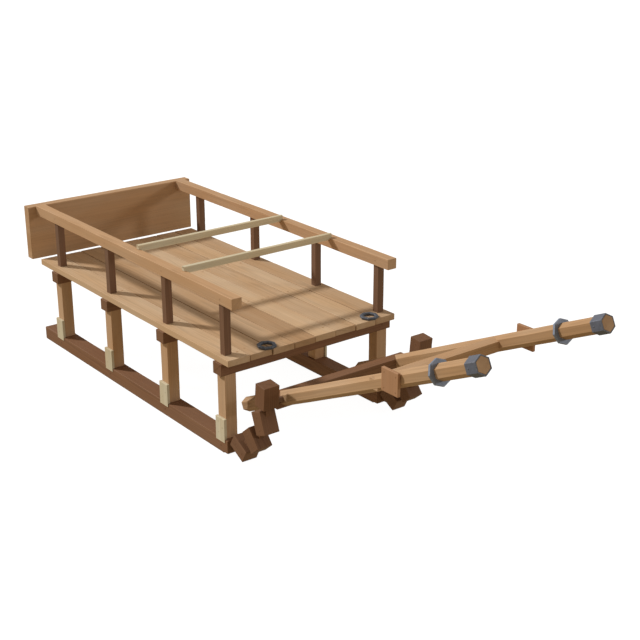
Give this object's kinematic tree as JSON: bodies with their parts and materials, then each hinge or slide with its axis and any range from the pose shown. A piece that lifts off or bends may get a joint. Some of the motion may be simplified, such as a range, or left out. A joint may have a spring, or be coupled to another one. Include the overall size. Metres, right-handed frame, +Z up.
{
  "type": "horse-drawn wooden freight sled",
  "caption": "Wooden freight sled: planked deck on posts over iron-shod runners with upturned noses, side rails, tailboard and a hinged pair of draft shafts.",
  "frame": {"origin": "centre of the sled's footprint on the ground, shafts included", "axes": "+X forward along the shafts, +Y to the sled's left, +Z up"},
  "size_m": [4.1304, 1.267, 1.1322],
  "materials": {
    "light_wood": "planed softwood, matt",
    "deck_wood": "worn softwood planks, matt",
    "dark_wood": "dark stained hardwood, matt",
    "brown_wood": "brown hardwood, matt",
    "pale_wood": "peeled pale lath, matt",
    "iron": "forged iron, dull blue-grey"
  },
  "bodies": {
    "sled": {"crossbeam_1": "dark_wood", "crossbeam_2": "dark_wood", "crossbeam_3": "dark_wood", "crossbeam_4": "dark_wood", "deck_plank_1": "deck_wood", "deck_plank_2": "deck_wood", "deck_plank_3": "deck_wood", "deck_plank_4": "deck_wood", "deck_plank_5": "deck_wood", "deck_plank_6": "deck_wood", "deck_plank_7": "deck_wood", "deck_plank_8": "deck_wood", "foot_cleats_left": "pale_wood", "foot_cleats_right": "pale_wood", "lashing_ring_left": "iron", "lashing_ring_right": "iron", "nose_bend_left": "dark_wood", "nose_bend_right": "dark_wood", "nose_blocks_left": "dark_wood", "nose_blocks_right": "dark_wood", "post_1_left": "light_wood", "post_1_right": "light_wood", "post_2_left": "light_wood", "post_2_right": "light_wood", "post_3_left": "light_wood", "post_3_right": "light_wood", "post_4_left": "light_wood", "post_4_right": "light_wood", "rail_left": "light_wood", "rail_right": "light_wood", "rail_slat_front": "pale_wood", "rail_slat_rear": "pale_wood", "runner_left": "dark_wood", "runner_right": "dark_wood", "runner_shoe_left": "iron", "runner_shoe_right": "iron", "stake_1_left": "dark_wood", "stake_1_right": "dark_wood", "stake_2_left": "dark_wood", "stake_2_right": "dark_wood", "stake_3_left": "dark_wood", "stake_3_right": "dark_wood", "stake_4_left": "dark_wood", "stake_4_right": "dark_wood", "tailboard": "light_wood"},
    "shafts": {"hinge_bar": "dark_wood", "hinge_pin_left": "iron", "hinge_pin_right": "iron", "shaft_cap_left": "iron", "shaft_cap_right": "iron", "shaft_crossbar": "light_wood", "shaft_left": "light_wood", "shaft_plate_left": "brown_wood", "shaft_plate_right": "brown_wood", "shaft_right": "light_wood", "shaft_ring_left": "iron", "shaft_ring_right": "iron"}
  },
  "joints": [
    {"name": "shaft_hinge", "type": "hinge", "parent": "sled", "child": "shafts", "pos_m": [0.60978, 0, 0.42191], "axis": [0, -1, 0], "range_deg": [-25, 40]}
  ]
}
